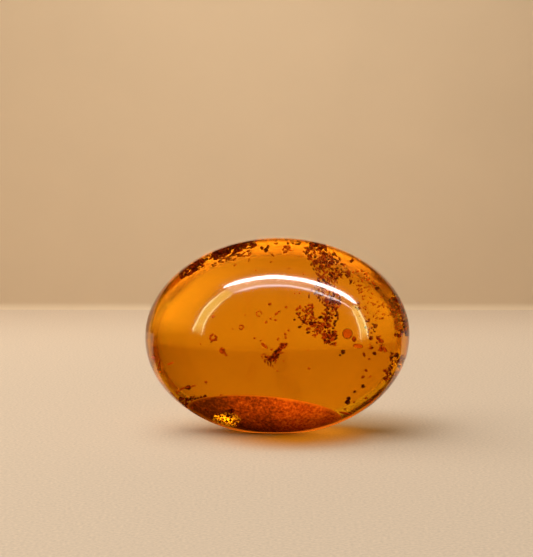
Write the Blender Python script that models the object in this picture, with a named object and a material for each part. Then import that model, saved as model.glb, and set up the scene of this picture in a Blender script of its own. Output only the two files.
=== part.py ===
"""A polished amber stone with a small flat on its lower edge, on which it stands upright.

Metres, +Z up. The stone's broad oval face looks along -Y, its long axis runs along X, and the origin is
on the surface it stands on, below the middle of its outline.
"""

import math

import bmesh
import bpy
from mathutils import Matrix, Vector

MM = 0.001

# The oval as it was ground: half its length, half its thickness and half its height
HALF_LENGTH = 20.0 * MM
HALF_THICKNESS = 8.0 * MM
HALF_HEIGHT = 15.0 * MM

# The oval leans a little in its own plane, so that its right end is the higher one
ROLL = math.radians(1.3)

# The flat is cut across the lowest point of the oval. It is an ellipse with this share of the oval's
# half length and half thickness, and its rim is worn round
FLAT_SHARE = 0.27
RIM_SHARE = 0.05

# Faces round the stone and from the flat's rim to the crown
SEGMENTS = 72
RINGS = 40
RIM_STEPS = 3

AMBER_COLOUR = (0.58, 0.17, 0.01, 1.0)
AMBER_ROUGHNESS = 0.05
AMBER_IOR = 1.54
AMBER_TRANSMISSION = 0.9


def clear_scene():
    for thing in list(bpy.data.objects):
        bpy.data.objects.remove(thing, do_unlink=True)


def lie_of_stone():
    """The matrix that turns a unit ball into the leaning oval, centred on the origin."""
    oval = Matrix.Diagonal((HALF_LENGTH, HALF_THICKNESS, HALF_HEIGHT, 1.0))
    return Matrix.Rotation(-ROLL, 4, "Y") @ oval


def pole_turn(lie):
    """Turns the unit ball so that its lower pole becomes the oval's lowest point."""
    upright = lie.to_3x3().transposed() @ Vector((0.0, 0.0, 1.0))
    return Vector((0.0, 0.0, 1.0)).rotation_difference(upright.normalized()).to_matrix().to_4x4()


def ball_profile():
    """(radius, height) pairs on a unit ball with a flat below: the flat's rim, its worn round, the side."""
    flat_height = -math.sqrt(1.0 - FLAT_SHARE**2)
    rim_start = FLAT_SHARE - RIM_SHARE
    side_start = FLAT_SHARE + RIM_SHARE
    side_height = -math.sqrt(1.0 - side_start**2)
    profile = []
    for step in range(RIM_STEPS):
        t = step / RIM_STEPS
        # A quadratic curve whose middle point is the sharp corner of the flat and the ball
        radius = (1 - t) ** 2 * rim_start + 2 * t * (1 - t) * FLAT_SHARE + t**2 * side_start
        height = (1 - t) ** 2 * flat_height + 2 * t * (1 - t) * flat_height + t**2 * side_height
        profile.append((radius, height))
    first_angle = math.asin(side_start)
    for step in range(RINGS):
        angle = first_angle + (math.pi - first_angle) * step / RINGS
        profile.append((math.sin(angle), -math.cos(angle)))
    return profile


def stone_mesh(name):
    """One closed skin: a flat disc, rings of faces up the side, and a fan at the crown."""
    lie = lie_of_stone()
    shape = bmesh.new()
    rings = []
    for radius, height in ball_profile():
        ring = []
        for step in range(SEGMENTS):
            turn = math.tau * step / SEGMENTS
            ring.append(shape.verts.new((radius * math.cos(turn), radius * math.sin(turn), height)))
        rings.append(ring)
    for lower, upper in zip(rings, rings[1:]):
        for step in range(SEGMENTS):
            following = (step + 1) % SEGMENTS
            shape.faces.new((lower[step], lower[following], upper[following], upper[step]))
    crown = shape.verts.new((0.0, 0.0, 1.0))
    for step in range(SEGMENTS):
        shape.faces.new((rings[-1][step], rings[-1][(step + 1) % SEGMENTS], crown))
    shape.faces.new(list(reversed(rings[0])))
    shape.transform(lie @ pole_turn(lie))
    lowest = min(v.co.z for v in shape.verts)
    for vertex in shape.verts:
        vertex.co.z -= lowest
    for vertex in rings[0]:
        vertex.co.z = 0.0
    left, right = (extreme(v.co.x for v in shape.verts) for extreme in (min, max))
    front, back = (extreme(v.co.y for v in shape.verts) for extreme in (min, max))
    shape.transform(Matrix.Translation((-(left + right) / 2, -(front + back) / 2, 0.0)))
    bmesh.ops.recalc_face_normals(shape, faces=shape.faces)
    mesh = bpy.data.meshes.new(name)
    shape.to_mesh(mesh)
    shape.free()
    mesh.shade_smooth()
    mesh.set_sharp_from_angle(angle=math.radians(30))
    return mesh


def amber_material():
    material = bpy.data.materials.new("amber")
    material.use_nodes = True
    shader = material.node_tree.nodes["Principled BSDF"]
    shader.inputs["Base Color"].default_value = AMBER_COLOUR
    shader.inputs["Metallic"].default_value = 0.0
    shader.inputs["Roughness"].default_value = AMBER_ROUGHNESS
    shader.inputs["IOR"].default_value = AMBER_IOR
    shader.inputs["Transmission Weight"].default_value = AMBER_TRANSMISSION
    return material


def main():
    clear_scene()
    stone = bpy.data.objects.new("amber_stone", stone_mesh("amber_stone"))
    stone.data.materials.append(amber_material())
    bpy.context.scene.collection.objects.link(stone)


main()
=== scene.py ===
"""Looks of the amber stone: clear polished amber with plant debris, bubbles and a weathered crust in it.

The stone is an oval ball on a small flat. Every speck in it has its place in the photograph's frame, 533
by 557 pixels: the camera's ray through that pixel is bent at the polished front, and the speck lies along
the bent ray, so it shows where the photograph has it.
"""

import math
import random

import bmesh
import bpy
from mathutils import Matrix, Vector, noise


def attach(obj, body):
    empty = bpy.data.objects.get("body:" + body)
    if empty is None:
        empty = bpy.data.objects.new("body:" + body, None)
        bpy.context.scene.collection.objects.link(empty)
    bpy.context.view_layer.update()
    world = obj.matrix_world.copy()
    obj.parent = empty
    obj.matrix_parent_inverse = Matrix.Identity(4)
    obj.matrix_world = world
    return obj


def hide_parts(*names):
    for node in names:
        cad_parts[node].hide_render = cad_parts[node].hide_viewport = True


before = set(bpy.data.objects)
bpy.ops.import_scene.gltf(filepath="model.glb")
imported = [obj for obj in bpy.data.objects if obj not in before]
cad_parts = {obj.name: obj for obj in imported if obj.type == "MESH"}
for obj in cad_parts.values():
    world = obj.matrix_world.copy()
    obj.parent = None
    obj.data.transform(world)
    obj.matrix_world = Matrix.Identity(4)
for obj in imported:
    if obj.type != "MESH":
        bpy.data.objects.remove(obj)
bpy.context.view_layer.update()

MM = 0.001

# The stone, as in the part's source, made a hair smaller so that it stays inside the faceted solid's box
HALF_LENGTH = 20.0 * MM
HALF_THICKNESS = 8.0 * MM
HALF_HEIGHT = 15.0 * MM
ROLL = math.radians(1.3)
FLAT_SHARE = 0.27
RIM_SHARE = 0.05
FINE_FIT = 0.9995
SEGMENTS = 256
RINGS = 150
RIM_STEPS = 6
AMBER_IOR = 1.54

# The photograph's frame and the camera
FRAME_WIDTH = 533
FRAME_HEIGHT = 557
LENS_MM = 100.0
NEAREST_SEEN = 10 * MM
SENSOR_MM = 36.0
ELEVATION = math.radians(7.0)
STONE_PIXEL = (277.3, 336.5)
STONE_WIDTH_PIXELS = 264.5
FLOOR_EDGE_PIXEL = 310

# The specks are strewn the same way each run
SEED = 40
random.seed(SEED)


def lie_of_stone():
    """The matrix that turns a unit ball into the leaning oval, centred on the origin."""
    oval = Matrix.Diagonal((HALF_LENGTH, HALF_THICKNESS, HALF_HEIGHT, 1.0))
    return Matrix.Rotation(-ROLL, 4, "Y") @ oval


LIE = lie_of_stone()
LIE_INVERSE = LIE.to_3x3().inverted()
LOWEST = math.hypot(HALF_LENGTH * math.sin(ROLL), HALF_HEIGHT * math.cos(ROLL))
CENTRE = Vector((0.0, 0.0, LOWEST * math.sqrt(1.0 - FLAT_SHARE**2)))


def make_object(name, mesh, material, body="root"):
    """A shown piece of the object, riding on the stone's body."""
    thing = bpy.data.objects.new(name, mesh)
    bpy.context.scene.collection.objects.link(thing)
    mesh.materials.append(material)
    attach(thing, body)
    return thing


def to_mesh(shape, name, smooth=True, sharp=None):
    """The finished mesh of a bmesh. Where sharp is given, edges from that many degrees up are sharp."""
    mesh = bpy.data.meshes.new(name)
    shape.to_mesh(mesh)
    shape.free()
    if smooth:
        mesh.shade_smooth()
    if sharp:
        mesh.set_sharp_from_angle(angle=math.radians(sharp))
    return mesh


def join_rings(shape, rings):
    """Bands of faces between closed rings, which have as many points each and go from the lowest up."""
    count = len(rings[0])
    for lower, upper in zip(rings, rings[1:]):
        for step in range(count):
            following = (step + 1) % count
            shape.faces.new((lower[step], lower[following], upper[following], upper[step]))


def hide_from(thing, *rays):
    """Hides a thing from these kinds of rays."""
    for ray in rays:
        setattr(thing, "visible_" + ray, False)


# Camera


def place_camera():
    pixels_per_unit = LENS_MM / SENSOR_MM * FRAME_HEIGHT
    distance = pixels_per_unit * 2 * HALF_LENGTH / STONE_WIDTH_PIXELS
    ahead = Vector((0.0, math.cos(ELEVATION), -math.sin(ELEVATION)))
    up = Vector((0.0, math.sin(ELEVATION), math.cos(ELEVATION)))
    camera = bpy.data.objects.new("camera", bpy.data.cameras.new("camera"))
    bpy.context.scene.collection.objects.link(camera)
    camera.data.lens = LENS_MM
    camera.data.sensor_width = SENSOR_MM
    camera.data.clip_start = NEAREST_SEEN
    camera.location = CENTRE - ahead * distance
    aside = (STONE_PIXEL[0] - FRAME_WIDTH / 2) / pixels_per_unit * distance
    below = (STONE_PIXEL[1] - FRAME_HEIGHT / 2) / pixels_per_unit * distance
    aim = CENTRE - Vector((1.0, 0.0, 0.0)) * aside + up * below
    camera.rotation_mode = "QUATERNION"
    camera.rotation_quaternion = (aim - camera.location).to_track_quat("-Z", "Y")
    bpy.context.scene.camera = camera
    return camera, pixels_per_unit


CAMERA, PIXELS_PER_UNIT = place_camera()
CAMERA_AXES = CAMERA.rotation_quaternion.to_matrix()
EYE = CAMERA.location.copy()


def pixel_ray(x, y):
    """The direction in which the camera looks through a pixel of the photograph."""
    local = Vector((x - FRAME_WIDTH / 2, FRAME_HEIGHT / 2 - y, -PIXELS_PER_UNIT))
    return (CAMERA_AXES @ local).normalized()


def meet_stone(start, direction, far=False):
    """Where a line meets the oval, or None."""
    offset = LIE_INVERSE @ (start - CENTRE)
    step = LIE_INVERSE @ direction
    a, b, c = step.dot(step), 2 * offset.dot(step), offset.dot(offset) - 1
    inside = b * b - 4 * a * c
    if inside < 0:
        return None
    return start + direction * ((-b + (1 if far else -1) * math.sqrt(inside)) / (2 * a))


def outward(point):
    return (LIE_INVERSE.transposed() @ (LIE_INVERSE @ (point - CENTRE))).normalized()


def front_hit(x, y):
    """The point of the polished front at a pixel, its outward direction and the camera's direction."""
    direction = pixel_ray(x, y)
    point = meet_stone(EYE, direction)
    if point is None:
        return None
    return point, outward(point), direction


# A step this long along a bent ray takes it off the polished front
HAIR = 1e-6


def bent_ray(x, y):
    """The front point at a pixel, the bent ray's direction and how far it runs to the stone's far side."""
    found = front_hit(x, y)
    if found is None:
        return None
    point, facing, direction = found
    share = 1 / AMBER_IOR
    along = -direction.dot(facing)
    bent = share * direction + (share * along - math.sqrt(1 - share**2 * (1 - along**2))) * facing
    far = meet_stone(point + bent * HAIR, bent, far=True)
    return point, bent, (far - point).length


def inside_at(x, y, depth):
    """The point that shows at a pixel, at this share of the way through the stone."""
    point, bent, length = bent_ray(x, y)
    return point + bent * (length * depth)


def pixel_size(x, y, depth):
    """How many metres across the view one pixel is, at this share of the way through the stone."""
    return (inside_at(x + 0.5, y, depth) - inside_at(x, y, depth)).length * 2


def pixel_of(point):
    """The pixel at which a point shows, the bend at the polish left out."""
    local = CAMERA_AXES.transposed() @ (point - EYE)
    across, up = local.x / -local.z, local.y / -local.z
    return Vector((FRAME_WIDTH / 2 + across * PIXELS_PER_UNIT, FRAME_HEIGHT / 2 - up * PIXELS_PER_UNIT))


def reflected(x, y):
    """The front point at a pixel and the direction that it mirrors to the camera."""
    point, facing, direction = front_hit(x, y)
    return point, direction - 2 * direction.dot(facing) * facing


def smooth_line(points, count):
    """count points along a smooth line through the given ones."""
    found = []
    last = len(points) - 1
    for step in range(count):
        place = step / (count - 1) * last
        index = min(int(place), last - 1)
        t = place - index
        p0 = Vector(points[max(index - 1, 0)])
        p1 = Vector(points[index])
        p2 = Vector(points[index + 1])
        p3 = Vector(points[min(index + 2, last)])
        bend = 2 * p1 + (p2 - p0) * t + (2 * p0 - 5 * p1 + 4 * p2 - p3) * t**2
        bend += (3 * p1 - p0 - 3 * p2 + p3) * t**3
        found.append(bend / 2)
    return found


# Materials


def new_material(name):
    material = bpy.data.materials.new(name)
    material.use_nodes = True
    tree = material.node_tree
    return material, tree, tree.nodes["Principled BSDF"]


def noise_of(tree, scale, detail):
    """Noise that lies still in the object."""
    place = tree.nodes.new("ShaderNodeTexCoord")
    cloud = tree.nodes.new("ShaderNodeTexNoise")
    cloud.inputs["Scale"].default_value = scale
    cloud.inputs["Detail"].default_value = detail
    tree.links.new(place.outputs["Object"], cloud.inputs["Vector"])
    return cloud.outputs["Fac"]


def attribute_of(tree, name):
    """A number that the mesh has at each of its points."""
    reader = tree.nodes.new("ShaderNodeAttribute")
    reader.attribute_name = name
    return reader.outputs["Fac"]


def sum_of(tree, operation, *values):
    """The result of a sum of numbers and of other nodes' outputs."""
    node = tree.nodes.new("ShaderNodeMath")
    node.operation = operation
    for socket, value in zip(node.inputs, values):
        if isinstance(value, bpy.types.NodeSocket):
            tree.links.new(value, socket)
        else:
            socket.default_value = value
    return node.outputs[0]


def ramp_of(tree, amount, stops):
    """A colour that follows the amount through stops, each a position and a colour."""
    node = tree.nodes.new("ShaderNodeValToRGB")
    elements = node.color_ramp.elements
    for element, (position, colour) in zip(elements, (stops[0], stops[-1])):
        element.position = position
        element.color = (*colour, 1.0)
    for position, colour in stops[1:-1]:
        elements.new(position).color = (*colour, 1.0)
    tree.links.new(amount, node.inputs["Fac"])
    return node.outputs["Color"]


def blend_of(tree, share, colour, other):
    """A colour that gives way to the other one as the share grows."""
    node = tree.nodes.new("ShaderNodeMix")
    node.data_type = "RGBA"
    node.inputs["B"].default_value = (*other, 1.0)
    tree.links.new(share, node.inputs["Factor"])
    tree.links.new(colour, node.inputs["A"])
    return node.outputs["Result"]


def amber_material():
    material, tree, shader = new_material("amber_clear")
    shader.inputs["Base Color"].default_value = (0.92, 0.345, 0.0048, 1.0)
    shader.inputs["Roughness"].default_value = 0.10
    shader.inputs["IOR"].default_value = AMBER_IOR
    shader.inputs["Coat Weight"].default_value = 1.0
    shader.inputs["Coat Roughness"].default_value = 0.0
    shader.inputs["Transmission Weight"].default_value = 1.0
    depth = tree.nodes.new("ShaderNodeVolumeAbsorption")
    depth.inputs["Color"].default_value = (0.98, 0.80, 0.20, 1.0)
    depth.inputs["Density"].default_value = 15.0
    tree.links.new(depth.outputs[0], tree.nodes["Material Output"].inputs["Volume"])
    return material


DEBRIS_COLOURS = ((0.46, (0.05, 0.010, 0.004)), (0.65, (0.48, 0.07, 0.015)), (0.86, (1.0, 0.30, 0.06)))


def debris_material():
    """Dark brown to rust, in blotches about as large as a speck."""
    material, tree, shader = new_material("plant_debris")
    blotch = noise_of(tree, scale=3600.0, detail=4.0)
    tone = sum_of(tree, "ADD", blotch, attribute_of(tree, "tone"))
    tree.links.new(ramp_of(tree, tone, DEBRIS_COLOURS), shader.inputs["Base Color"])
    shader.inputs["Roughness"].default_value = 0.6
    return material


# The skin's colours from dark red-brown up: its own grain, whose brightest stop paints small glints
CRUST_AND_GLINT_COLOURS = (
    (0.0, (0.15, 0.055, 0.026)),
    (0.30, (0.27, 0.10, 0.045)),
    (0.58, (0.62, 0.205, 0.085)),
    (1.0, (1.0, 0.58, 0.25)),
)
# Painted glow: the light orange along the skin's edge and at its foot
CRUST_EDGE_GLOW_COLOUR = (1.0, 0.62, 0.22)
# The colour of the skin's inner sheet
CRUST_BACK_COLOUR = (0.62, 0.28, 0.05)
# How much lighter the crust gets in a metre to the right, how much its fine grain counts, and what is taken
# off the sum before it is a place in those colours
CRUST_LIGHTER_RIGHT = 20.0
CRUST_GRAIN_SHARE = 1.5
CRUST_TAKEN_OFF = 0.75


def crust_material():
    """Weathered skin: dark red-brown, full of fine orange grains with painted glints, lighter to the right,
    with a painted glow along its edge.
    """
    material, tree, shader = new_material("weathered_crust")
    place = tree.nodes.new("ShaderNodeTexCoord")
    split = tree.nodes.new("ShaderNodeSeparateXYZ")
    tree.links.new(place.outputs["Object"], split.inputs["Vector"])
    patch = noise_of(tree, scale=260.0, detail=5.0)
    grain = noise_of(tree, scale=2500.0, detail=3.0)
    lift = sum_of(tree, "MULTIPLY_ADD", split.outputs["X"], CRUST_LIGHTER_RIGHT, patch)
    both = sum_of(tree, "MULTIPLY_ADD", grain, CRUST_GRAIN_SHARE, lift)
    # The grain, with painted glints in its brightest specks
    skin = ramp_of(tree, sum_of(tree, "SUBTRACT", both, CRUST_TAKEN_OFF), CRUST_AND_GLINT_COLOURS)
    # The edge attribute paints a glow along the skin's edge and foot
    front = blend_of(tree, attribute_of(tree, "edge"), skin, CRUST_EDGE_GLOW_COLOUR)
    whole = blend_of(tree, attribute_of(tree, "behind"), front, CRUST_BACK_COLOUR)
    tree.links.new(whole, shader.inputs["Base Color"])
    shader.inputs["Roughness"].default_value = 0.55
    return material


def mottled_material(name, scale, detail, dark, light, roughness, specular=0.5):
    """A matt surface between two colours."""
    material, tree, shader = new_material(name)
    colour = ramp_of(tree, noise_of(tree, scale, detail), ((0.0, dark), (1.0, light)))
    tree.links.new(colour, shader.inputs["Base Color"])
    shader.inputs["Roughness"].default_value = roughness
    shader.inputs["Specular IOR Level"].default_value = specular
    return material


def paper_material(name, colour, grain, spread):
    """Matt studio paper with a fine grain, darker and lighter than its colour by the spread."""
    dark = [channel * (1 - spread) for channel in colour]
    light = [channel * (1 + spread) for channel in colour]
    return mottled_material(name, grain, 3.0, dark, light, 0.9, specular=0.1)


# What joins a light that isn't solid to what is behind it
LOOK_NODES = {"fading": "ShaderNodeMixShader", "added": "ShaderNodeAddShader"}


def glow_material(name, strength, colour, look):
    """A light whose strength follows the glow attribute.

    A solid one hides what is behind it, a fading one hides it only where it is bright, and an added one
    adds to it.
    """
    material, tree, shader = new_material(name)
    tree.nodes.remove(shader)
    share = attribute_of(tree, "glow")
    shine = tree.nodes.new("ShaderNodeEmission")
    shine.inputs["Color"].default_value = (*colour, 1.0)
    shine.inputs["Strength"].default_value = strength
    shown = shine
    if look in LOOK_NODES:
        shown = tree.nodes.new(LOOK_NODES[look])
        clear = tree.nodes.new("ShaderNodeBsdfTransparent")
        tree.links.new(clear.outputs[0], shown.inputs[-2])
        tree.links.new(shine.outputs[0], shown.inputs[-1])
    if look == "fading":
        tree.links.new(share, shown.inputs["Fac"])
    else:
        tree.links.new(sum_of(tree, "MULTIPLY", share, strength), shine.inputs["Strength"])
    tree.links.new(shown.outputs[0], tree.nodes["Material Output"].inputs["Surface"])
    return material


# The clear stone


def ball_profile():
    """(radius, height) pairs on a unit ball with a flat below: the flat's rim, its worn round, the side."""
    flat_height = -math.sqrt(1.0 - FLAT_SHARE**2)
    rim_start = FLAT_SHARE - RIM_SHARE
    side_start = FLAT_SHARE + RIM_SHARE
    side_height = -math.sqrt(1.0 - side_start**2)
    profile = []
    for step in range(RIM_STEPS):
        t = step / RIM_STEPS
        radius = (1 - t) ** 2 * rim_start + 2 * t * (1 - t) * FLAT_SHARE + t**2 * side_start
        height = (1 - t) ** 2 * flat_height + 2 * t * (1 - t) * flat_height + t**2 * side_height
        profile.append((radius, height))
    first_angle = math.asin(side_start)
    for step in range(RINGS):
        angle = first_angle + (math.pi - first_angle) * step / RINGS
        profile.append((math.sin(angle), -math.cos(angle)))
    return profile


def add_stone(shape):
    """The polished skin, with the flat filled by a fan so that its shading stays flat."""
    upright = (LIE.to_3x3().transposed() @ Vector((0.0, 0.0, 1.0))).normalized()
    turn = Vector((0.0, 0.0, 1.0)).rotation_difference(upright).to_matrix().to_4x4()
    place = Matrix.Scale(FINE_FIT, 4) @ Matrix.Translation(CENTRE) @ LIE @ turn
    rings = []
    for radius, height in ball_profile():
        ring = []
        for step in range(SEGMENTS):
            angle = math.tau * step / SEGMENTS
            point = place @ Vector((radius * math.cos(angle), radius * math.sin(angle), height))
            point.z = max(point.z, 0.0)
            ring.append(shape.verts.new(point))
        rings.append(ring)
    join_rings(shape, rings)
    crown = shape.verts.new(place @ Vector((0.0, 0.0, 1.0)))
    foot = shape.verts.new(sum((v.co for v in rings[0]), Vector()) / SEGMENTS)
    for step in range(SEGMENTS):
        following = (step + 1) % SEGMENTS
        shape.faces.new((rings[-1][step], rings[-1][following], crown))
        shape.faces.new((rings[0][following], rings[0][step], foot))


# Each air bubble: its pixel, its half width and half height in pixels, its depth share and its tilt
BUBBLES = (
    (347.5, 333.8, 5.4, 5.5, 0.30, 0),
    (358.0, 346.0, 5.2, 2.4, 0.22, -6),
    (232.5, 329.0, 0.9, 0.7, 0.40, 0),
    (289.0, 268.5, 1.0, 0.8, 0.30, 0),
)
# A bubble's size from front to back, as a share of its width
BUBBLE_DEPTH = 0.45


def add_bubbles(shape):
    """Air bubbles: closed skins whose faces point into them, away from the amber."""
    for x, y, half_width, half_height, depth, tilt in BUBBLES:
        size = pixel_size(x, y, depth)
        turn = Matrix.Rotation(-math.radians(tilt), 4, "Y")
        radii = (half_width * size, half_height * size * BUBBLE_DEPTH, half_height * size, 1.0)
        matrix = Matrix.Translation(inside_at(x, y, depth)) @ turn @ Matrix.Diagonal(radii)
        made = bmesh.ops.create_icosphere(shape, subdivisions=3, radius=1.0, matrix=matrix)
        for face in {face for vert in made["verts"] for face in vert.link_faces}:
            face.normal_flip()


def clear_stone():
    shape = bmesh.new()
    add_stone(shape)
    add_bubbles(shape)
    stone = make_object("amber_clear", to_mesh(shape, "amber_clear", sharp=30), amber_material())
    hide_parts("amber_stone")


# The weathered crust low on the front


# Three pixels on the crust's upper edge, which is a flat section of the stone
CRUST_EDGE = ((190.6, 402.0), (250.0, 395.9), (335.2, 411.7))
CRUST_GAP = 0.10 * MM
CRUST_BACK_EDGE = -1.7 * MM
CRUST_AROUND = 360
CRUST_ACROSS = 100
# The skin's outer and inner sheet: how far each is sunk in, the heights of its noise with the number of
# lumps to a millimetre, and how low it may reach
CRUST_SINKS = (0.075 * MM, 0.30 * MM)
CRUST_DIMPLES = (((0.045 * MM, 3.1), (0.03 * MM, 7.3)), ((0.1 * MM, 1.3),))
CRUST_LOWEST = (0.12 * MM, 0.3 * MM)
# The sheets draw together this fast over the last of the way to the rim, down to these shares of their sink
CRUST_CLOSING = 60
CRUST_RIM_SHARES = (0.05, 0.15)
# How many cells wide the painted glow along the edge is on the left and on the right, and how high it is at
# the foot
CRUST_EDGE_GLOW_CELLS = (3.6, 6.5)
CRUST_FOOT_GLOW = 0.9 * MM
# Low on the left the skin is crackled, and light from above shines through its gaps
CRACKLE_PIXEL = (225.5, 421.0)
CRACKLE_REACH = (11.5, 6.2)
CRACKLE_SCALE = 3.4
CRACKLE_FINER = 2.3
CRACKLE_LEVEL = -0.3
# The gaps get fewer from this share of the reach out, and there are none past the other
CRACKLE_FADE = 0.5
CRACKLE_END = 1.3


def crust_section():
    """The flat section that bounds the crust: its direction and its height on the unit ball."""
    left, middle, right = (front_hit(*pixel)[0] for pixel in CRUST_EDGE)
    normal = (middle - left).cross(right - left).normalized()
    if normal.z > 0:
        normal.negate()
    on_ball = LIE.to_3x3().transposed() @ normal
    return on_ball.normalized(), (middle - CENTRE).dot(normal) / on_ball.length


def crust_point(unit, share, side):
    """A point of the skin's outer (0) or inner (1) sheet, which meet near the rim."""
    point = LIE @ (unit * (1 - CRUST_GAP / HALF_THICKNESS)) + CENTRE
    spot = point / MM
    sink = CRUST_SINKS[side]
    for height, lumps in CRUST_DIMPLES[side]:
        sink += height * noise.noise(spot * lumps)
    point -= outward(point) * sink * min(1, CRUST_CLOSING * (1 - share) + CRUST_RIM_SHARES[side])
    point.z = max(point.z, CRUST_LOWEST[side])
    return point


def crackled(point):
    """Whether the skin has a gap here."""
    x, y = pixel_of(point)
    off = math.hypot((x - CRACKLE_PIXEL[0]) / CRACKLE_REACH[0], (y - CRACKLE_PIXEL[1]) / CRACKLE_REACH[1])
    if off > CRACKLE_END:
        return False
    spot = point / MM * CRACKLE_SCALE
    rough = noise.noise(spot) + 0.5 * noise.noise(spot * CRACKLE_FINER)
    return rough > CRACKLE_LEVEL + 0.5 * max(0.0, off - CRACKLE_FADE)


def crust():
    """A thin weathered skin just under the polish, from a flat section of the stone down to its foot."""
    normal, height = crust_section()
    first = normal.cross(Vector((1.0, 0.0, 0.0))).normalized()
    second = normal.cross(first)
    top = math.acos(height)
    shape = bmesh.new()
    # The edge layer holds the share of the painted glow along the skin's edge and foot
    edge_glow_layer = shape.verts.layers.float.new("edge")
    behind_layer = shape.verts.layers.float.new("behind")

    def unit_at(ring, step):
        angle = math.tau * step / CRUST_AROUND
        lean = top * ring / CRUST_ACROSS
        return normal * math.cos(lean) + (first * math.cos(angle) + second * math.sin(angle)) * math.sin(lean)

    kept = set()
    for ring in range(CRUST_ACROSS):
        for step in range(CRUST_AROUND):
            middle = LIE @ unit_at(ring + 0.5, step + 0.5) + CENTRE
            if middle.y < CRUST_BACK_EDGE and not crackled(middle):
                kept.add((ring, step))
    # Two cells that touch at a corner only get one of the other two back
    for ring, step in sorted(kept):
        for side in (1, -1):
            beside = (ring, (step + side) % CRUST_AROUND)
            above = (ring + 1, step)
            across = (ring + 1, beside[1])
            if across in kept and beside not in kept and above not in kept:
                kept.add(above)
    corners = {}

    def corner(ring, step, side):
        place = (ring, step % CRUST_AROUND if ring else 0, side)
        if place not in corners:
            share = ring / CRUST_ACROSS
            vert = shape.verts.new(crust_point(unit_at(ring, place[1]), share, side))
            # How far the painted glow reaches in from the edge and up from the foot
            wide = CRUST_EDGE_GLOW_CELLS[vert.co.x >= 0]
            foot = 1 - (CRUST_BACK_EDGE - vert.co.y) / CRUST_FOOT_GLOW
            vert[edge_glow_layer] = min(1.0, max(0.0, 1 - (1 - share) * CRUST_ACROSS / wide, foot))
            vert[behind_layer] = side
            corners[place] = vert
        return corners[place]

    def wall(one, other):
        shape.faces.new((corner(*one, 0), corner(*other, 0), corner(*other, 1), corner(*one, 1)))

    for ring, step in sorted(kept):
        after = step + 1
        cell = [(ring, step), (ring + 1, step), (ring + 1, after)]
        if ring:
            cell.append((ring, after))
        shape.faces.new([corner(*place, 0) for place in reversed(cell)])
        shape.faces.new([corner(*place, 1) for place in cell])
        if (ring, (step - 1) % CRUST_AROUND) not in kept:
            wall((ring, step), (ring + 1, step))
        if (ring, after % CRUST_AROUND) not in kept:
            wall((ring + 1, after), (ring, after))
        if (ring + 1, step) not in kept:
            wall((ring + 1, step), (ring + 1, after))
        if ring and (ring - 1, step) not in kept:
            wall((ring, after), (ring, step))
    bmesh.ops.recalc_face_normals(shape, faces=shape.faces)
    make_object("weathered_crust", to_mesh(shape, "weathered_crust", sharp=50), crust_material())


# The ground spot


# The flat lies a little to the left of the middle, because the oval leans
FLAT_ASIDE = -0.26 * MM
# The film over the flat: its height above the floor, its thickness and its share of the flat's size
FILM_HEIGHT = 0.05 * MM
FILM_THICKNESS = 0.04 * MM
FILM_SHARE = 0.93
FILM_SIDES = 96
FILM_RAGGED = 0.03
FILM_LUMPS = 4


def ground_spot():
    """The flat on which the stone stands is ground and not polished: a pale matt film just above it."""
    shape = bmesh.new()
    rings = []
    for height in (FILM_HEIGHT, FILM_HEIGHT + FILM_THICKNESS):
        ring = []
        for step in range(FILM_SIDES):
            angle = math.tau * step / FILM_SIDES
            way = Vector((math.cos(angle), math.sin(angle), 0))
            share = FLAT_SHARE * FILM_SHARE * (1 + FILM_RAGGED * noise.noise(way * FILM_LUMPS))
            x = HALF_LENGTH * share * way.x + FLAT_ASIDE
            y = HALF_THICKNESS * share * way.y
            ring.append(shape.verts.new((x, y, height)))
        rings.append(ring)
    join_rings(shape, rings)
    shape.faces.new(rings[1])
    shape.faces.new(list(reversed(rings[0])))
    matt = mottled_material("ground_spot", 900.0, 6.0, (0.48, 0.24, 0.055), (0.58, 0.30, 0.07), 0.8)
    make_object("ground_spot", to_mesh(shape, "ground_spot", smooth=False), matt)


# Plant debris


# A speck stays inside this share of the stone, above this height and before this share of the way through
SPECK_SHARE = 0.990
SPECK_LOWEST = 0.15 * MM
SPECK_FARTHEST = 0.9
SPECK_THINNEST = 0.03 * MM
# Its lumps: how many of the coarse and of the fine to its half length, and how much its tone varies
COARSE_LUMPS = 1.6
FINE_LUMPS = 3.9
TONE_SPREAD = 0.06
# How far apart in the noise two specks may be
NOISE_SPAN = 90


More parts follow.
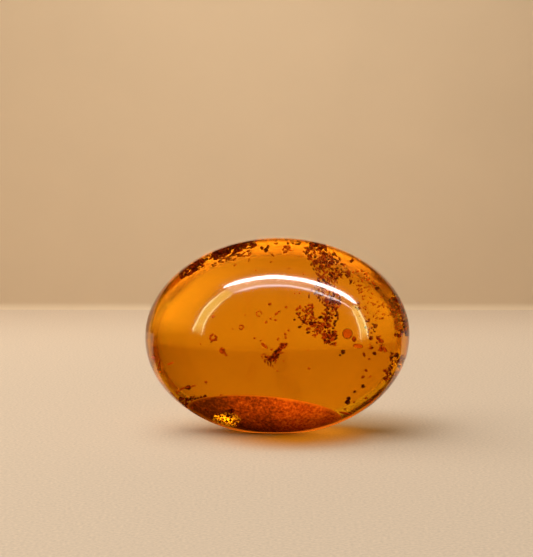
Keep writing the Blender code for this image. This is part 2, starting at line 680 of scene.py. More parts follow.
def add_fleck(shape, x, y, length, width, angle, depth, tone, ragged=0.4, detail=1):
    """An irregular grain that shows as length by width pixels, turned up from level by angle degrees."""
    found = bent_ray(x, y)
    if found is None:
        return
    point, bent, reach = found
    middle = point + bent * (reach * depth)
    turn = math.radians(angle)
    arms = []
    for dx, dy, size in ((math.cos(turn), -math.sin(turn), length), (math.sin(turn), math.cos(turn), width)):
        ends = []
        for side in (1, -1):
            end = bent_ray(x + side * dx * size / 2, y + side * dy * size / 2)
            if end is None:
                ends.append(None)
            else:
                ends.append(end[0] + end[1] * min(reach * depth, end[2] * SPECK_FARTHEST))
        if ends[0] and ends[1]:
            arms.append((ends[0] - ends[1]) / 2)
        elif ends[0] or ends[1]:
            arms.append((ends[0] or ends[1]) - middle)
        else:
            return
    arms.append(bent.normalized() * max(arms[1].length, SPECK_THINNEST))
    seed = Vector((random.random(), random.random(), random.random())) * NOISE_SPAN
    tone_layer = shape.verts.layers.float.get("tone") or shape.verts.layers.float.new("tone")
    made = bmesh.ops.create_icosphere(shape, subdivisions=detail, radius=1.0)
    for vert in made["verts"]:
        unit = vert.co.copy()
        lumps = noise.noise(unit * COARSE_LUMPS + seed) + 0.5 * noise.noise(unit * FINE_LUMPS + seed)
        place = middle + (arms[0] * unit.x + arms[1] * unit.y + arms[2] * unit.z) * (1 + ragged * lumps)
        share = (LIE_INVERSE @ (place - CENTRE)).length
        if share > SPECK_SHARE:
            place = CENTRE + (place - CENTRE) * (SPECK_SHARE / share)
        place.z = max(place.z, SPECK_LOWEST)
        vert.co = place
        vert[tone_layer] = tone + TONE_SPREAD * noise.noise(unit + seed)


# Points on the smooth line that strewn specks follow, and how ragged they are
STRAND_POINTS = 60
STRAND_RAGGED = 0.45


def scatter(shape, line, spread, count, length, width, angle, depth, tone):
    """count flecks strewn along a line of pixels, whose spread may taper from its start to its end.

    The angle is drawn from a mean and a spread, and the rest evenly from their ranges.
    """
    path = smooth_line(line, STRAND_POINTS)
    last = STRAND_POINTS - 1
    for _ in range(count):
        at = random.random()
        index = min(int(at * last), last - 1)
        along = (path[index + 1] - path[index]).normalized()
        aside = Vector((-along.y, along.x))
        wide = spread[0] + (spread[1] - spread[0]) * at
        place = path[index].lerp(path[index + 1], at * last - index) + aside * random.uniform(-1, 1) * wide
        size = (random.uniform(*length), random.uniform(*width))
        lie = (random.gauss(*angle), random.uniform(*depth))
        add_fleck(shape, *place, *size, *lie, random.uniform(*tone), STRAND_RAGGED)


def scatter_all(shape, strands):
    for strand in strands:
        scatter(shape, *strand)


def add_flecks(shape, flecks, depth, ragged=0.4, growth=1.0, lighter=1.0):
    """Flecks placed one by one, at depths drawn from a range."""
    for x, y, length, width, angle, tone in flecks:
        lie = (angle, random.uniform(*depth))
        add_fleck(shape, x, y, length * growth, width * growth, *lie, tone * lighter, ragged, 2)


# A curl's grains are this much longer than wide, and their tones vary by this much
CURL_LENGTH = 1.5
CURL_SPREAD = 0.08


def curl(shape, x, y, radius, count, size, depth, tone):
    """A curl of debris: grains round a small ring of pixels, with one left out."""
    gap = random.random() * math.tau
    for step in range(count):
        angle = gap + math.tau * step / (count + 1)
        place = (x + radius * math.cos(angle), y + radius * math.sin(angle))
        lie = (-math.degrees(angle) + 90, depth)
        shade = tone + random.uniform(-CURL_SPREAD, CURL_SPREAD)
        add_fleck(shape, *place, size * CURL_LENGTH, size, *lie, shade)


# Angles in degrees, as a mean and a spread, and ranges of tone
STEEP = (-65, 28)
ANY_WAY = (0, 90)
DARK = (0.0, 0.12)
BROWN = (0.0, 0.24)
RUST = (0.24, 0.46)
# Each strand of specks is a line of pixels, then its spread to each side in pixels, how many specks there
# are, and the ranges of their length and width in pixels, of angle, of depth share and of tone
HEAD = ((309, 243), (322, 250), (333, 258), (341, 268), (346, 277))
CORE = ((312, 244), (319, 256), (326, 268), (333, 282))
LOBE = ((333, 300), (331, 312), (329, 324), (331, 336), (329, 344))
STREAM_STRANDS = (
    # The head of the stream under the top edge, down to the main highlight
    (HEAD, (5, 5), 40, (3, 6), (1.6, 3), (-40, 30), (0.1, 0.35), BROWN),
    (CORE, (9, 12), 125, (2.4, 5.6), (1.4, 2.6), STEEP, (0.12, 0.45), RUST),
    (CORE, (11, 14), 110, (2.4, 5.6), (1.3, 2.5), STEEP, (0.1, 0.35), BROWN),
    # Behind the highlight
    (((322, 280), (328, 292), (334, 304)),
     (15, 8), 75, (2.4, 5), (1.2, 2.2), (70, 25), (0.15, 0.45), BROWN),
    (((320, 282), (328, 292), (336, 304)),
     (13, 8), 34, (2.4, 4.6), (1.2, 2.2), STEEP, (0.15, 0.5), RUST),
    # The right lobe, dense and dark red
    (LOBE, (8.5, 5), 90, (2.4, 5), (1.5, 2.8), ANY_WAY, (0.15, 0.4), BROWN),
    (LOBE, (9, 6), 55, (2.4, 5), (1.5, 2.8), ANY_WAY, (0.2, 0.5), RUST),
    (((322, 322), (327, 332), (331, 340)),
     (7, 6), 40, (2.6, 5), (1.6, 3), ANY_WAY, (0.2, 0.5), RUST),
    # The left lobe
    (((304, 306), (307, 316), (313, 326), (320, 333)),
     (9, 7), 95, (2.2, 4.8), (1.3, 2.6), ANY_WAY, (0.2, 0.5), RUST),
    (((303, 310), (309, 320), (318, 330)),
     (8, 7), 36, (2, 3.8), (1.4, 2.5), ANY_WAY, (0.15, 0.4), BROWN),
)
RIM_LEFT_STRANDS = (
    # Dark bands along the upper left edge
    (((180, 276), (187, 271), (195, 266), (203, 262)),
     (5.5, 3.5), 85, (3, 6.5), (1.6, 3), (30, 20), (0.2, 0.42), (0.0, 0.2)),
    (((203, 262), (209, 257), (216, 254)),
     (2.5, 2.5), 20, (3, 5), (1.6, 2.6), (25, 20), (0.2, 0.42), (0.0, 0.2)),
    (((214, 256), (226, 250), (240, 246), (256, 241)),
     (4, 5), 120, (3.5, 8), (1.8, 3.4), (22, 14), (0.2, 0.42), (0.0, 0.18)),
    (((212, 264), (226, 259), (240, 256), (250, 253)),
     (2.5, 2.5), 34, (3, 7), (1.2, 2.2), (20, 12), (0.2, 0.42), (0.02, 0.26)),
    # Along the top
    (((283, 250), (289, 248), (294, 248)),
     (3, 3), 16, (2.4, 5), (1.3, 2.2), ANY_WAY, (0.1, 0.4), RUST),
    (((262, 240), (290, 239), (320, 242), (350, 251)),
     (1.5, 1.5), 16, (2, 4), (1, 1.8), (0, 20), (0.05, 0.3), BROWN),
)
RIM_RIGHT_STRANDS = (
    (((393, 298), (398, 309), (401, 322), (402, 336)),
     (6, 7), 95, (2.6, 5.4), (1.4, 3), ANY_WAY, (0.03, 0.16), BROWN),
    (((395, 302), (400, 316), (402, 332)),
     (7, 6), 60, (2.4, 5), (1.4, 2.8), ANY_WAY, (0.03, 0.16), RUST),
    (((392, 366), (389, 372), (386, 380)),
     (2, 3), 26, (2.6, 5), (1.3, 2.2), (60, 30), (0.04, 0.2), (0.04, 0.26)),
    (((390, 354), (396, 357), (403, 360)),
     (6, 5), 22, (2, 4), (1.2, 2.4), ANY_WAY, (0.04, 0.2), DARK),
    (((391, 356), (392, 362), (391, 368)),
     (1.2, 1.2), 9, (2.6, 4), (1.6, 2.4), (80, 20), (0.04, 0.2), DARK),
)
# Fine dashes to the right of the stream, and what lies beside the bubbles
DASH_STRANDS = (
    (((352, 268), (362, 282), (374, 300), (384, 318)),
     (9, 9), 64, (2.2, 5), (1.2, 2.2), (50, 50), (0.1, 0.4), (0.24, 0.50)),
    (((356, 300), (364, 312), (370, 330), (378, 350)),
     (5, 6), 34, (2, 4), (1.2, 2.4), ANY_WAY, (0.1, 0.4), (0.06, 0.34)),
    (((378, 336), (381, 344), (383, 352)),
     (3, 3), 18, (2.4, 4.8), (1.5, 2.8), ANY_WAY, (0.15, 0.4), RUST),
)
# Beside the curls left of the middle, and the lumps at the left end of the crust
LOW_LEFT_STRANDS = (
    (((221, 348), (224, 352), (226, 356)),
     (1.6, 1.2), 14, (2, 3.6), (1.4, 2.4), ANY_WAY, (0.3, 0.4), (0.2, 0.42)),
    (((214, 333), (216, 340), (211, 341)),
     (1.4, 1.2), 12, (2, 3.8), (1.6, 2.6), ANY_WAY, (0.3, 0.4), (0.2, 0.42)),
    (((182, 402), (190, 400), (198, 401), (206, 399)),
     (4, 4), 44, (2.4, 5), (1.6, 3), ANY_WAY, (0.06, 0.3), DARK),
    (((188, 404), (196, 408), (206, 411)),
     (3, 3), 16, (2.4, 4.6), (1.6, 2.8), ANY_WAY, (0.03, 0.12), BROWN),
)
# The torn bit of stem in the middle: its shaft, its frayed foot and the bit that lies across
STEM_DEPTH = (0.3, 0.36)
STEM_STRANDS = (
    (((284.5, 343.5), (281, 348), (277.5, 353), (274, 358)),
     (1.6, 2.2), 34, (2.8, 5.4), (2.2, 3.8), (55, 30), STEM_DEPTH, (0.04, 0.34)),
    (((277, 354), (273.5, 358), (270, 361)),
     (2.6, 2.6), 22, (2.8, 5), (2.2, 3.6), ANY_WAY, STEM_DEPTH, (0.02, 0.24)),
    (((275, 357), (270, 358), (265, 358.5)),
     (1.4, 2.2), 16, (2.4, 4.6), (1.9, 3.2), (0, 40), STEM_DEPTH, (0.06, 0.34)),
)
# Each curl: its pixel, its radius in pixels, its grains' number and width, its depth share and its tone
CURLS = (
    (213, 337.5, 2.8, 8, 2.6, 0.35, 0.38),
    (222.5, 351, 2.0, 7, 2.3, 0.35, 0.34),
    (241.3, 327.2, 2.0, 7, 1.9, 0.4, 0.4),
    (259, 313.8, 2.6, 7, 1.6, 0.4, 0.4),
)
STEM_CURL = (263.6, 356, 2.0, 6, 1.5, 0.33, 0.24)


# Lumps that stand out one by one: pixel, length and width in pixels, angle, tone
LUMPS = [
    (313, 245, 8, 4.5, -20, 0.04), (322, 247, 7, 3.6, 10, 0.04), (318, 243.5, 6, 2.6, 0, 0.1),
    (352, 260.5, 5, 4, 50, 0.05), (357.4, 272, 3.4, 1.3, 20, 0.1), (351, 282, 6, 2, 60, 0.02),
    (377.3, 288.3, 4.6, 3.6, 0, 0.0), (393, 293, 3.6, 2.2, 80, 0.05), (394.4, 299.8, 3.2, 2.2, 0, 0.05),
    (298, 244, 6.5, 2.4, 0, 0.02), (293, 243.2, 3, 2.2, 0, 0.02), (288, 243, 3, 2.2, 0, 0.03),
    (300, 242, 3.4, 2, 0, 0.05), (249, 260, 5, 1.6, 75, 0.12), (262, 248, 4.2, 3.2, -40, 0.02),
    (266, 250, 5, 4.4, 30, 0.0), (268, 246.5, 4, 3, 60, 0.03), (272.5, 255, 5, 1.6, -40, 0.15),
    (294.5, 319.7, 2.6, 2.4, 0, 0.0), (297, 313.5, 2.8, 2, 30, 0.0), (299.8, 327, 4.2, 2.6, 15, 0.0),
    (304.5, 318.7, 3.6, 2.2, -30, 0.02), (308.2, 332.6, 4.6, 2.4, 15, 0.0),
    (311.3, 323.3, 5.4, 3.6, -10, 0.0),
    (315, 322.5, 3, 2.2, 0, 0.0), (320.4, 317.2, 5, 3.2, 20, 0.0), (328.7, 317.6, 3.4, 4.4, 0, 0.0),
    (309, 296, 5, 1.6, 85, 0.1), (319, 295, 3.4, 1.5, 90, 0.1), (320, 300, 4, 1.6, 80, 0.1),
    (337, 313, 4, 2, 80, 0.1), (338, 318, 4, 2, 90, 0.1), (303.5, 322, 4, 2.6, -50, 0.0),
]


# Specks that lie apart: pixel, length and width in pixels, angle, tone
SPECKS = [
    (375.5, 326, 4.4, 3.2, 60, 0.05), (371, 338, 3.6, 3, 80, 0.05), (381, 341, 4.4, 3.6, 0, 0.2),
    (371, 348, 4, 2.2, 10, 0.1), (374.5, 353.5, 3.4, 2.6, 0, 0.02), (364, 354.5, 4, 2, -60, 0.15),
    (369, 359, 2.4, 1.6, -30, 0.12), (366, 370.6, 2.6, 2.4, 0, 0.12), (363, 377, 3.2, 2, 30, 0.1),
    (370, 376.5, 2.6, 1.4, 20, 0.2), (363, 386, 3.2, 3.2, 0, 0.0), (354.6, 391.5, 2.6, 2.4, 0, 0.03),
    (366, 398, 2.6, 1.6, 0, 0.2), (370.4, 401, 3.2, 2.2, 0, 0.1), (354, 402, 2, 1.8, 0, 0.15),
    (348.6, 398.6, 3.6, 3.4, 40, 0.0), (347.4, 402.2, 4.4, 4, 0, 0.0), (343, 352, 3.8, 3.6, 20, 0.0),
    (340, 355, 2, 1.8, 0, 0.05), (354, 339, 3.6, 5, 0, 0.15), (396.5, 355.5, 4, 3.6, 0, 0.0),
    (399, 361, 3.4, 3, 0, 0.02), (399, 366, 3, 2.4, 0, 0.04), (403, 359, 3, 3, 0, 0.04),
    (385, 370.5, 3.4, 2.6, 0, 0.1), (398, 375, 2.4, 2, 0, 0.15), (309, 368.5, 2, 1.8, 0, 0.25),
    (308, 350.5, 1.4, 1.2, 0, 0.25), (283.5, 361, 1.6, 1.4, 0, 0.3), (277.5, 371, 1.6, 1.4, 0, 0.25),
    (263, 344.5, 3.6, 2.4, -40, 0.28), (266, 347, 3.4, 2.2, -50, 0.28), (271.7, 349.4, 2, 1.6, 0, 0.3),
    (278, 339, 2.6, 1.6, 60, 0.25), (285.2, 334, 2, 2, 0, 0.3), (285.6, 337.3, 2, 2.4, 0, 0.28),
    (288.8, 330.3, 2, 1.8, 0, 0.32), (254.6, 338.2, 2, 1.8, 0, 0.32), (260.7, 340.6, 1.6, 1.4, 0, 0.32),
    (245, 315, 1.2, 1, 0, 0.3), (213, 316.5, 3, 2, 40, 0.35), (269.7, 304, 3, 2, 20, 0.28),
    (276.4, 313.7, 3.6, 2, 45, 0.22), (266, 322.4, 2.4, 2, 0, 0.28), (270.6, 318.5, 2, 1.8, 0, 0.32),
    (275.4, 320, 2.2, 1.8, 0, 0.28), (279, 311.5, 2.4, 1.6, 30, 0.3), (286, 307, 2.4, 1.8, 0, 0.25),
    (299.5, 293, 2, 1.4, 0, 0.3), (300, 306, 2, 1.6, 90, 0.2), (295, 293.5, 1.6, 1, 0, 0.3),
    (153.4, 357.7, 3, 2.4, -20, 0.22), (158.8, 365.7, 10, 1.2, 75, 0.12), (170, 363.6, 5, 1.6, 20, 0.3),
    (172, 362.8, 3, 1.6, 20, 0.34), (188, 387.6, 5, 3.4, 0, 0.05), (183, 388.5, 6, 1.6, 20, 0.2),
    (193, 386, 5, 1.4, 15, 0.25), (206, 382, 2.6, 2, 0, 0.12), (221, 395, 2.2, 1.6, 0, 0.15),
    (172, 394, 3, 2, 0, 0.1), (181, 399, 3.4, 3, 0, 0.05), (177, 393, 2, 1.6, 0, 0.2),
    (200.5, 344, 1.2, 1.2, 0, 0.25), (160, 372, 2, 1.2, 0, 0.25), (179, 391, 2, 1.4, 0, 0.25),
    (326, 410, 2, 1.6, 0, 0.1), (345, 409, 2.4, 1.4, 0, 0.12), (271, 262, 2.4, 1.4, 30, 0.25),
    (256, 270.5, 1.4, 1, 0, 0.3), (243, 256, 2.4, 1.6, 0, 0.3), (235, 265, 3, 1.8, 30, 0.25),
    (303.5, 274, 1.6, 1.2, 0, 0.3), (301, 257, 1.2, 1, 0, 0.3), (276, 243.5, 3, 1.6, 0, 0.12),
]


# Frayed bits round the torn stem, as the specks above
STEM_BITS = (
    (268, 363.5, 5.4, 1.6, 100, 0.15), (270.7, 364.4, 5.2, 1.6, 85, 0.12), (275.8, 361.5, 4.6, 1.7, 60, 0.15),
    (264.8, 361.6, 4.0, 1.5, 120, 0.2), (282, 353, 4.4, 1.5, 30, 0.25), (286, 344, 3.4, 2.4, 20, 0.2),
    (280.5, 343.8, 3.4, 1.6, 15, 0.25), (273, 366.5, 3, 1.3, 90, 0.25),
)
# Flecks with a depth of their own: pixel, length and width in pixels, angle, depth share, tone, raggedness
RIM_STEMS = ((387.5, 375, 17, 1.4, 80, 0.2, 0.05, 0.15), (392.5, 376, 7, 1.2, -45, 0.2, 0.1, 0.2))
# By the crust: the first two are bright orange slivers right of it, a painted glow along the stone's edge;
# the last two are dark lumps on its left
CRUST_FLECKS_AND_EDGE_GLOW = (
    (346, 413.5, 15, 2.2, -9, 0.04, 0.48, 0.25),
    (355, 416.5, 13, 1.8, 4, 0.04, 0.42, 0.25),
    (231, 411.5, 6, 4.4, 0, 0.02, 0.0, 0.4),
    (228, 416, 4, 3, 30, 0.02, 0.0, 0.4),
)
LUMP_DEPTH = (0.14, 0.3)
LUMP_RAGGED = 0.35
SPECK_DEPTH = (0.15, 0.5)
# The lone specks are made this much larger and lighter than they look, because the amber dims them
SPECK_GROWTH = 1.25
SPECK_LIGHTER = 1.4


def debris_stream(material):
    shape = bmesh.new()
    scatter_all(shape, STREAM_STRANDS)
    add_flecks(shape, LUMPS, LUMP_DEPTH, ragged=LUMP_RAGGED)
    make_object("debris_stream", to_mesh(shape, "debris_stream"), material)


def debris_rims(material):
    shape = bmesh.new()
    scatter_all(shape, RIM_LEFT_STRANDS)
    make_object("debris_rim_left", to_mesh(shape, "debris_rim_left"), material)
    shape = bmesh.new()
    scatter_all(shape, RIM_RIGHT_STRANDS)
    for stem in RIM_STEMS:
        add_fleck(shape, *stem, detail=2)
    make_object("debris_rim_right", to_mesh(shape, "debris_rim_right"), material)


def debris_scatter(material):
    shape = bmesh.new()
    add_flecks(shape, SPECKS, SPECK_DEPTH, growth=SPECK_GROWTH, lighter=SPECK_LIGHTER)
    scatter_all(shape, DASH_STRANDS)
    for ring in CURLS:
        curl(shape, *ring)
    scatter_all(shape, LOW_LEFT_STRANDS)
    # The flecks by the crust, two of them a painted glow along the edge
    for fleck in CRUST_FLECKS_AND_EDGE_GLOW:
        add_fleck(shape, *fleck, detail=2)
    make_object("debris_scatter", to_mesh(shape, "debris_scatter"), material)


def plant_fragment(material):
    """A torn bit of stem with a frayed foot, in the middle of the stone."""
    shape = bmesh.new()
    scatter_all(shape, STEM_STRANDS)
    curl(shape, *STEM_CURL)
    add_flecks(shape, STEM_BITS, STEM_DEPTH)
    make_object("plant_fragment", to_mesh(shape, "plant_fragment"), material)


# Floor and wall


def set_thing(name, mesh, material):
    """A thing of the studio, which isn't part of the object."""
    thing = bpy.data.objects.new(name, mesh)
    bpy.context.scene.collection.objects.link(thing)
    mesh.materials.append(material)
    return thing


# The studio: how far it reaches, where the floor's far half starts, the bend's radius and number of steps,
# how high the bend's shading may reach, and the wall's height. The stone doesn't mirror the near half
STUDIO_REACH = 0.6
FLOOR_SPLIT = 4 * MM
BEND = 2 * MM
BEND_STEPS = 8
SHADING_HEIGHT = 0.06
WALL_HEIGHT = 0.13
PAPER_COLOUR = (0.66, 0.53, 0.395)
WALL_COLOUR = (0.78, 0.595, 0.39)


def studio():
    """A floor that turns up into a wall, where the photograph has the line between them."""
    dip = ELEVATION - math.atan((STONE_PIXEL[1] - FRAME_HEIGHT / 2) / PIXELS_PER_UNIT)
    dip += math.atan((FLOOR_EDGE_PIXEL - FRAME_HEIGHT / 2) / PIXELS_PER_UNIT)
    wall_y = EYE.z / math.tan(dip) + EYE.y
    rows = [(-STUDIO_REACH, 0.0), (FLOOR_SPLIT, 0.0), (wall_y - BEND, 0.0)]
    for step in range(1, BEND_STEPS + 1):
        angle = math.pi / 2 * step / BEND_STEPS
        rows.append((wall_y - BEND + BEND * math.sin(angle), BEND - BEND * math.cos(angle)))
    rows += [(wall_y, SHADING_HEIGHT), (wall_y, WALL_HEIGHT)]
    points = []
    for y, z in rows:
        points += [(-STUDIO_REACH, y, z), (STUDIO_REACH, y, z)]
    faces = []
    for start in range(0, len(points) - 2, 2):
        faces.append((start, start + 1, start + 3, start + 2))
    paper = paper_material("floor", PAPER_COLOUR, 2400.0, 0.24)
    backdrop = paper_material("wall", WALL_COLOUR, 60.0, 0.03)
    for name, part, material, mirrored in (
        ("floor", faces[:1], paper, False),
        ("floor_behind", faces[1:4], paper, True),
        ("wall", faces[4:], backdrop, True),
    ):
        mesh = bpy.data.meshes.new(name)
        mesh.from_pydata(points, [], part)
        mesh.shade_smooth()
        set_thing(name, mesh, material).visible_glossy = mirrored


# Soft lights


# Each soft light: its place, what it looks at, its size, its power, its colour and its spread in degrees
SOFT_LIGHTS = {
    "key": ((-0.25, 0.0, 0.52), (0.0, 0.0, 0.0), 0.8, 5.8, (1.0, 0.95, 0.88), 180),
    "wall_light": ((0.0, -0.3, 0.35), (0.0, 0.179, 0.10), 0.12, 0.022, (1.0, 0.97, 0.94), 24),
    "air": ((0.0, -0.2, 0.8), (0.0, -0.1, 0.0), 1.2, 0.5, (1.0, 0.95, 0.88), 180),
}


def soft_lights():
    for name, (place, target, size, energy, colour, spread) in SOFT_LIGHTS.items():
        light = bpy.data.lights.new(name, "AREA")
        light.shape = "SQUARE"
        light.size = size
        light.spread = math.radians(spread)
        light.energy = energy
        light.color = colour
        lamp = bpy.data.objects.new(name, light)
        bpy.context.scene.collection.objects.link(lamp)
        lamp.location = place
        lamp.rotation_mode = "QUATERNION"
        lamp.rotation_quaternion = (Vector(target) - Vector(place)).to_track_quat("-Z", "Y")
        hide_from(lamp, "glossy", "transmission")


def world_light():
    world = bpy.data.worlds.new("studio_air")
    bpy.context.scene.world = world
    world.use_nodes = True
    background = world.node_tree.nodes["Background"]
    background.inputs["Color"].default_value = (1.0, 0.93, 0.84, 1.0)
    background.inputs["Strength"].default_value = 0.72
    world.cycles_visibility.glossy = False
    world.cycles_visibility.diffuse = False


# The light that the stone lets through


FLOOR = ("floor", "floor_behind")
FOOT = ("weathered_crust", "ground_spot")
SKIN = ("weathered_crust",)
# Each level oval of light: its middle, half sizes and height in mm, its strength, its colour, its look, how
# bright its middle is, what it lights, and whether it shines past everything else
OVALS = {
    "amber_glow": ((1.5, -4.5), (13.0, 12.5), 2.5, 0.95, (1.0, 0.37, 0.012), "fading", 1.5, FLOOR, False),
    "inner_glow": ((2.0, 2.5), (12.0, 3.8), 5.0, 16.5, (1.0, 0.9, 0.8), "solid", 1.0, FOOT, True),
    "foot_glow": ((3.0, -13.0), (16.0, 6.0), 1.0, 3.5, (1.0, 0.43, 0.22), "added", 1.0, SKIN, True),
    "side_glow": ((8.0, -1.0), (6.5, 8.5), 1.6, 0.95, (1.0, 0.38, 0.02), "fading", 1.1, FLOOR, True),
    "warm_shade": ((5.0, 4.0), (23.0, 18.0), 3.5, 0.7, (1.0, 0.56, 0.09), "fading", 0.75, FLOOR, False),
}
OVAL_SIDES = 48
# The lamp that shines down through the crackled skin: its direction, its distance and its radius
CRACKLE_LAMP_WAY = Vector((0.46, -0.14, 0.86)).normalized()
CRACKLE_LAMP_DISTANCE = 0.3
CRACKLE_LAMP_RADIUS = 0.06


def sheet_of(name, points, faces, shares, strength, colour, look="solid"):
    """A sheet of light that the camera doesn't see. Each of its points has its share of the strength."""
    mesh = bpy.data.meshes.new(name)
    mesh.from_pydata(points, [], faces)
    mesh.attributes.new("glow", "FLOAT", "POINT").data.foreach_set("value", shares)
    sheet = set_thing(name, mesh, glow_material(name, strength, colour, look))
    hide_from(sheet, "camera")
    return sheet


def glow_sheet(name, points, strength, colour, look="solid", centre=1.0, rim=0.0):
    """A flat sheet of light, in a fan from its first point, as bright there and at its rim as given."""
    last = len(points) - 1
    faces = [(0, step, step % last + 1) for step in range(1, last + 1)]
    sheet = sheet_of(name, points, faces, [centre] + [rim] * last, strength, colour, look)
    hide_from(sheet, "glossy")
    sheet.visible_shadow = look != "added"
    return sheet


def oval_points(middle, aside, ahead):
    """The middle and then the rim of an oval, for a glow sheet."""
    points = [Vector(middle)]
    for step in range(OVAL_SIDES):
        angle = math.tau * step / OVAL_SIDES
        points.append(points[0] + Vector(aside) * math.cos(angle) + Vector(ahead) * math.sin(angle))
    return points


def level_oval(middle, half, height):
    """The points of a level oval, from sizes in mm."""
    sizes = ((*middle, height), (half[0], 0.0, 0.0), (0.0, half[1], 0.0))
    return oval_points(*(Vector(size) * MM for size in sizes))


def seen_through(sheet):
    """Keeps a glow sheet out of everything but the view through the stone."""
    hide_from(sheet, "diffuse", "shadow")


def light_only(sheet, names, passes):
    """Keeps a sheet's light to these things. Where it passes, nothing else shades them from it."""
    only = bpy.data.collections.new("lit_by_" + sheet.name)
    for name in names:
        only.objects.link(bpy.data.objects[name])
    sheet.light_linking.receiver_collection = only
    if passes:
        sheet.light_linking.blocker_collection = only
    hide_from(sheet, "transmission")


def through_light():
    """The light that the stone lets through to the floor and to its own foot, and the crackle's lamp."""
    for name, (middle, half, height, strength, colour, look, centre, lit, passes) in OVALS.items():
        sheet = glow_sheet(name, level_oval(middle, half, height), strength, colour, look, centre)
        light_only(sheet, lit, passes)
    middle = CENTRE + CRACKLE_LAMP_WAY * CRACKLE_LAMP_DISTANCE
    aside = CRACKLE_LAMP_WAY.cross(Vector((0, 0, 1))).normalized() * CRACKLE_LAMP_RADIUS
    points = oval_points(middle, aside, aside.cross(CRACKLE_LAMP_WAY))
    seen_through(glow_sheet("crackle_lamp", points, 8.0, (1.0, 0.75, 0.45)))


# The light on the floor behind the stone, in mm: two ovals side by side, and a lane from near the stone to
# the wall, whose fan of faces starts at its middle and ends this far up the wall
BEHIND_HEIGHT = 0.3
BEHIND_ASIDE = 13
BEHIND_AHEAD = 38
BEHIND_HALF = (13, 20)
LANE_HALF = 20
LANE_NEAR = 60
LANE_MIDDLE = 110
LANE_LIFT = 5


def floor_glow():
    """Light on the floor and wall just behind the stone, which shows only through the stone."""
    for side in (-1, 1):
        points = level_oval((side * BEHIND_ASIDE, BEHIND_AHEAD), BEHIND_HALF, BEHIND_HEIGHT)
        seen_through(glow_sheet("floor_glow", points, 0.27, (1.0, 0.72, 0.45), "added"))
    wall = bpy.data.objects["wall"].data.vertices[-1].co.y / MM
    points = [(0, LANE_MIDDLE, BEHIND_HEIGHT)]
    points += [(side * LANE_HALF, LANE_NEAR, BEHIND_HEIGHT) for side in (-1, 1)]
    points += [(LANE_HALF, wall - LANE_LIFT - 1, BEHIND_HEIGHT), (LANE_HALF, wall - 1, LANE_LIFT)]
    points += [(-LANE_HALF, wall - 1, LANE_LIFT), (-LANE_HALF, wall - LANE_LIFT - 1, BEHIND_HEIGHT)]
    points = [Vector(point) * MM for point in points]
    seen_through(glow_sheet("lane_glow", points, 0.02, (1.0, 0.8, 0.5), "added", rim=1.0))


# Highlights


# How many metres the mirrored sheets of light are from the stone
LIGHT_DISTANCE = 0.5


def light_sheet(name, rows, glows, strength, colour):
    """A sheet of light whose image in the polish fills rows of pixels. glows has a share for each pixel."""
    points, shares = [], []
    for row, glow in zip(rows, glows):
        for (x, y), share in zip(row, glow):
            point, direction = reflected(x, y)
            points.append(point + direction * LIGHT_DISTANCE)
            shares.append(share)
    across = len(rows[0])
    faces = []
    for row in range(len(rows) - 1):
        for start in range(row * across, (row + 1) * across - 1):
            faces.append((start, start + 1, start + across + 1, start + across))
    sheet = sheet_of(name, points, faces, shares, strength, colour)
    hide_from(sheet, "diffuse", "transmission", "shadow")


# Points along a band, and the power by which its ends narrow
BAND_POINTS = 60
BAND_POINT_SHAPE = 0.7


def band(name, line, half_width, strength, taper=0.15, soft=1.0, colour=(1.0, 0.98, 0.95)):
    """A curved streak of light along a line of pixels, pointed at both ends."""
    centre = smooth_line(line, BAND_POINTS)
    last = BAND_POINTS - 1
    rows, glows = [], []
    for offset, share in ((-2, 0.0), (-1, 1.0), (1, 1.0), (2, 0.0)):
        row = []
        for step, point in enumerate(centre):
            along = (centre[min(step + 1, last)] - centre[max(step - 1, 0)]).normalized()
            aside = Vector((-along.y, along.x))
            t = step / last
            edge = half_width * min(1.0, t / taper, (1 - t) / taper) ** BAND_POINT_SHAPE
            if abs(offset) > 1:
                edge += soft * min(1, edge)
            row.append(point + aside * math.copysign(edge, offset))
        rows.append(row)
        glows.append([share] * BAND_POINTS)
    light_sheet(name, rows, glows, strength, colour)


PALE = (0.8, 0.95, 1.0)
LEMON = (0.85, 1.0, 0.55)
# The lines of pixels that the highlights follow, each from left to right or from the foot up
MAIN_LINE = [(223, 288), (230, 285.3), (242, 282), (252, 280), (264, 278.2), (276, 277.7), (288, 278.7)]
MAIN_LINE += [(300, 280.3), (312, 283), (322, 286), (333, 290.3), (343, 295), (350, 299.7), (356.5, 304)]
SECOND_LINE = [(233, 293), (240, 290), (248, 287.8), (260, 285.3), (276, 284.6), (288, 285)]
SECOND_LINE += [(300, 286.8), (312, 289.7), (320, 292.5), (330, 296.4), (340, 300.5), (351, 307.5)]
LEFT_OUTER = [(193, 333), (193.7, 329), (197.5, 321.5), (205, 308.5), (217.5, 296.5), (226.5, 290)]
LEFT_INNER = [(201.5, 336), (202.2, 330), (204.3, 322.5), (210.5, 312.5), (219, 303.5), (233, 293)]
RIGHT_OUTER = [(367.7, 339), (367, 333.5), (365.3, 326.5), (362.3, 318.5), (358.5, 310.5), (355.5, 305)]
RIGHT_INNER = [(361.4, 342), (361, 335), (359.8, 327), (357, 318), (353.5, 311), (350, 306.5)]
BETWEEN_POINTS = 40
LIMB_POINTS = 24
# A limb fades over this share of its length
LIMB_FADE = 0.3


def limb(name, outer, inner):
    """A dim end of the ring of light: two fine lines with a paler fill between them, fading downwards."""
    band(name + "_outer", outer, 0.9, 9.0, taper=0.3, soft=0.7, colour=LEMON)
    band(name + "_inner", inner, 0.8, 8.0, taper=0.3, soft=0.7, colour=LEMON)
    rows = [smooth_line(outer, LIMB_POINTS), smooth_line(inner, LIMB_POINTS)]
    fade = [min(1.0, step / LIMB_POINTS / LIMB_FADE) for step in range(LIMB_POINTS)]
    light_sheet(name + "_fill", rows, [fade, fade], 2.7, (1.0, 1.05, 0.24))


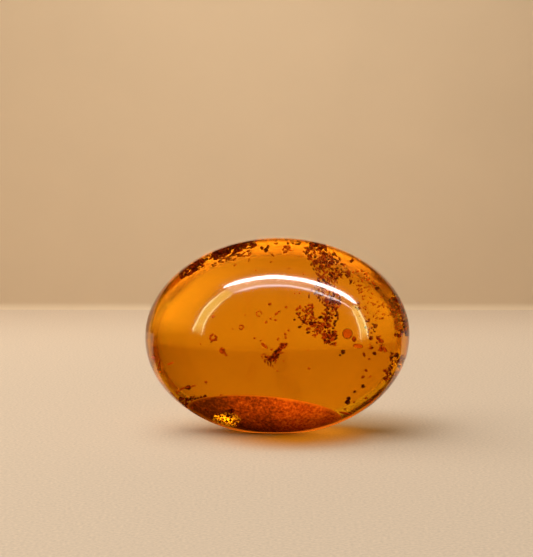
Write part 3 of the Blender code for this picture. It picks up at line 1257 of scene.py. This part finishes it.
# The oval outline's half sizes, and the ring that the broad reflection starts from, in pixels
OUTLINE_HALF = (132.2, 98.8)
RING = [(190, 334), (192.5, 322), (198, 312), (207, 300), (219, 289), (240, 279.5), (262, 274)]
RING += [(277, 273), (300, 275.5), (324, 281), (345, 293), (359, 304), (368, 316), (371.5, 328), (372.5, 336)]
RING_POINTS = 57
# How bright the broad reflection is from the ring out to the rim, and from its left end over the top
ACROSS_GLOW = (0.4, 0.75, 0.85, 0.9, 0.85, 0.5)
AROUND_GLOW = (0.0, 1.0, 1.0, 1.0, 0.9, 0.5, 0.25, 0.1, 0.05, 0.04, 0.06, 0.12, 0.2, 0.25, 0.0)
# It ends at this share of the outline, and its outer rows fade out upwards over these rows of pixels
BROAD_END = 0.955
INNER_ROWS = 4
DEBRIS_LINE = 284
DEBRIS_FADE = 16


def rim_pixel(turn, share):
    """The pixel at this share of the way from the middle of the outline to its edge."""
    across = OUTLINE_HALF[0] * math.cos(turn)
    down = OUTLINE_HALF[1] * math.sin(turn)
    x = STONE_PIXEL[0] + share * (across * math.cos(ROLL) + down * math.sin(ROLL))
    y = STONE_PIXEL[1] + share * (down * math.cos(ROLL) - across * math.sin(ROLL))
    return Vector((x, y))


def broad_reflection():
    """A wide orange sheen outside the ring. Over the debris at the upper left it stops short of the rim."""
    ring = smooth_line(RING, RING_POINTS)
    rows, glows = [], []
    for number, level in enumerate(ACROSS_GLOW):
        share = number / (len(ACROSS_GLOW) - 1)
        row, glow = [], []
        for step, inner in enumerate(ring):
            off = inner - Vector(STONE_PIXEL)
            rim = rim_pixel(math.atan2(off.y / OUTLINE_HALF[1], off.x / OUTLINE_HALF[0]), BROAD_END)
            place = inner.lerp(rim, share)
            row.append(place)
            at = step / (RING_POINTS - 1) * (len(AROUND_GLOW) - 1)
            index = min(int(at), len(AROUND_GLOW) - 2)
            around = AROUND_GLOW[index] + (AROUND_GLOW[index + 1] - AROUND_GLOW[index]) * (at - index)
            if number >= INNER_ROWS:
                around *= min(1.0, max(0.0, (place.y - DEBRIS_LINE) / DEBRIS_FADE))
            glow.append(level * around)
        rows.append(row)
        glows.append(glow)
    light_sheet("broad_reflection", rows, glows, 4.0, (1.0, 0.36, 0.012))


# The lower edge's line of light: its points, where it starts, how far it runs, and its rows' outline shares
RIM_POINTS = 40
RIM_START = math.radians(14)
RIM_TURN = math.radians(116)
RIM_SHARES = (0.971, 0.981, 0.989, 0.997)
RIM_FADE = 4


def rim_line():
    """The amber-lit floor, mirrored in a thin line along the lower edge."""
    ways = [step / (RIM_POINTS - 1) for step in range(RIM_POINTS)]
    rows = [[rim_pixel(RIM_START + RIM_TURN * way, share) for way in ways] for share in RIM_SHARES]
    fade = [min(1.0, RIM_FADE * way, RIM_FADE * (1 - way)) for way in ways]
    light_sheet("rim_line", rows, [[0.0] * RIM_POINTS, fade, fade, fade], 1.3, (1.0, 0.19, 0.008))


def highlights():
    band("highlight_main", MAIN_LINE, 1.9, 26.0, taper=0.1, soft=0.8)
    band("highlight_second", SECOND_LINE, 1.1, 7.5, colour=PALE)
    between = [smooth_line(line, BETWEEN_POINTS) for line in (MAIN_LINE, SECOND_LINE)]
    # It is bright at its left end and dark from three quarters of the way to the right
    fade = [max(0.0, math.cos(2.0 * step / (BETWEEN_POINTS - 1))) for step in range(BETWEEN_POINTS)]
    light_sheet("highlight_between", between, [fade, fade], 2.2, (1.0, 0.95, 0.7))
    limb("highlight_left", LEFT_OUTER, LEFT_INNER)
    limb("highlight_right", RIGHT_OUTER, RIGHT_INNER)
    broad_reflection()
    rim_line()


# Light passes this many surfaces before it is lost
BOUNCES = 24


def tune_renderer():
    scene = bpy.context.scene
    scene.view_settings.view_transform = "Standard"
    scene.cycles.max_bounces = BOUNCES
    scene.cycles.transmission_bounces = BOUNCES
    scene.cycles.glossy_bounces = BOUNCES
    scene.cycles.transparent_max_bounces = BOUNCES
    scene.cycles.use_denoising = True


studio()
clear_stone()
crust()
ground_spot()
debris = debris_material()
debris_stream(debris)
debris_rims(debris)
debris_scatter(debris)
plant_fragment(debris)
highlights()
world_light()
soft_lights()
floor_glow()
through_light()
tune_renderer()
